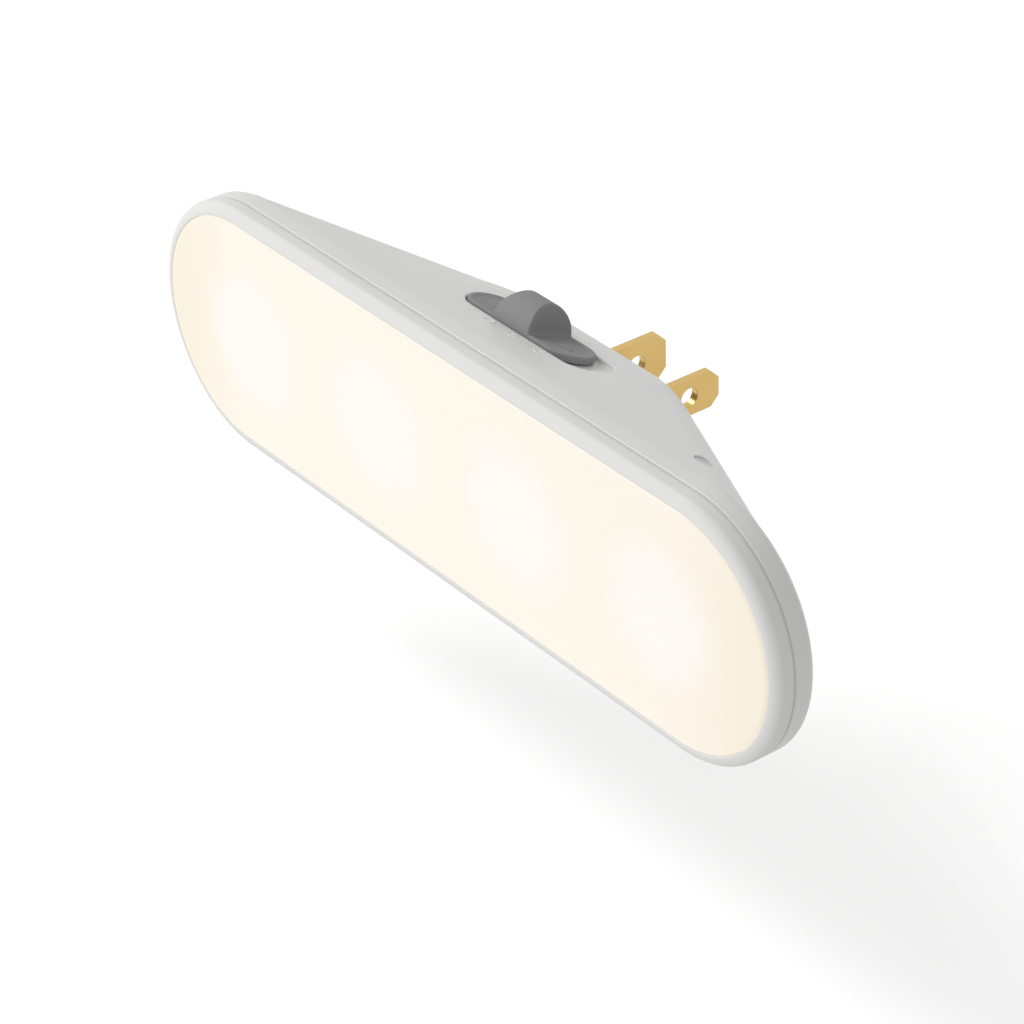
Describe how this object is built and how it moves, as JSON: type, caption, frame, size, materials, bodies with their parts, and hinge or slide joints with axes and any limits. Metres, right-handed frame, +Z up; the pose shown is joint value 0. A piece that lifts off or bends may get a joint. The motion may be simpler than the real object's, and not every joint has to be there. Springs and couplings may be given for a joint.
{
  "type": "plug-in night light",
  "caption": "Long oval plug-in night light: white housing with sloping sides and polarised blades, opal front in a white ring, sliding switch with a raised grip and a light sensor port on top.",
  "frame": {"origin": "centre of the plug's seating face, halfway between its two blades, where the lamp meets the wall socket", "axes": "+X along the lamp to the right as seen from the lit front, +Y into the wall along the blades, +Z up, so the lit lens faces -Y"},
  "size_m": [0.1504, 0.047, 0.0432],
  "materials": {
    "housing_plastic": "satin",
    "ring_plastic": "satin gloss",
    "opal_lens": "opal",
    "reflector_plastic": "matte",
    "zinc_screw": "zinc plated",
    "board_aluminium": "white lacquered",
    "led_body": "gloss",
    "led_phosphor": "gloss",
    "blade_brass": "bright rolled",
    "circuit_board": "solder mask",
    "film_capacitor_case": "gloss",
    "capacitor_sleeve": "gloss",
    "moulded_epoxy": "matte",
    "ferrite": "sintered",
    "copper_wire": "enamelled",
    "resistor_lacquer": "lacquered",
    "red_insulation": "satin",
    "black_insulation": "satin",
    "grey_insulation": "satin",
    "white_insulation": "satin",
    "yellow_insulation": "satin",
    "switch_steel": "tinned",
    "switch_phenolic": "matte",
    "clear_window": "clear",
    "sensor_ceramic": "matte",
    "slider_plastic": "satin",
    "clip_plastic": "satin",
    "lever_plastic": "satin",
    "contact_bronze": "bright"
  },
  "bodies": {
    "lamp_body": {"rear_housing": "housing_plastic", "front_ring": "ring_plastic", "diffuser_lens": "opal_lens", "reflector_tray": "reflector_plastic", "tray_screws": "zinc_screw", "led_board": "board_aluminium", "led_packages": "led_body", "led_phosphors": "led_phosphor", "led_board_screws": "zinc_screw", "plug_carrier": "housing_plastic", "line_blade": "blade_brass", "neutral_blade": "blade_brass", "driver_board": "circuit_board", "driver_board_screws": "zinc_screw", "film_capacitor": "film_capacitor_case", "electrolytic_capacitor": "capacitor_sleeve", "bridge_rectifier": "moulded_epoxy", "driver_chip": "moulded_epoxy", "choke_core": "ferrite", "choke_winding": "copper_wire", "fusible_resistor": "resistor_lacquer", "chip_resistors": "moulded_epoxy", "positive_led_lead": "red_insulation", "negative_led_lead": "black_insulation", "switch_frame": "switch_steel", "switch_base": "switch_phenolic", "switch_terminals": "switch_steel", "switch_screws": "zinc_screw", "switch_lead_common": "grey_insulation", "switch_lead_on": "white_insulation", "switch_lead_auto": "yellow_insulation", "sensor_window": "clear_window", "photocell": "sensor_ceramic", "photocell_lead_a": "grey_insulation", "photocell_lead_b": "grey_insulation"},
    "slider": {"slider_knob": "slider_plastic", "slider_clip": "clip_plastic", "switch_lever": "lever_plastic", "switch_wiper": "contact_bronze"}
  },
  "joints": [
    {"name": "slider_travel", "type": "slide", "parent": "lamp_body", "child": "slider", "axis": [1, 0, 0], "range_m": [0, 0.004]}
  ]
}
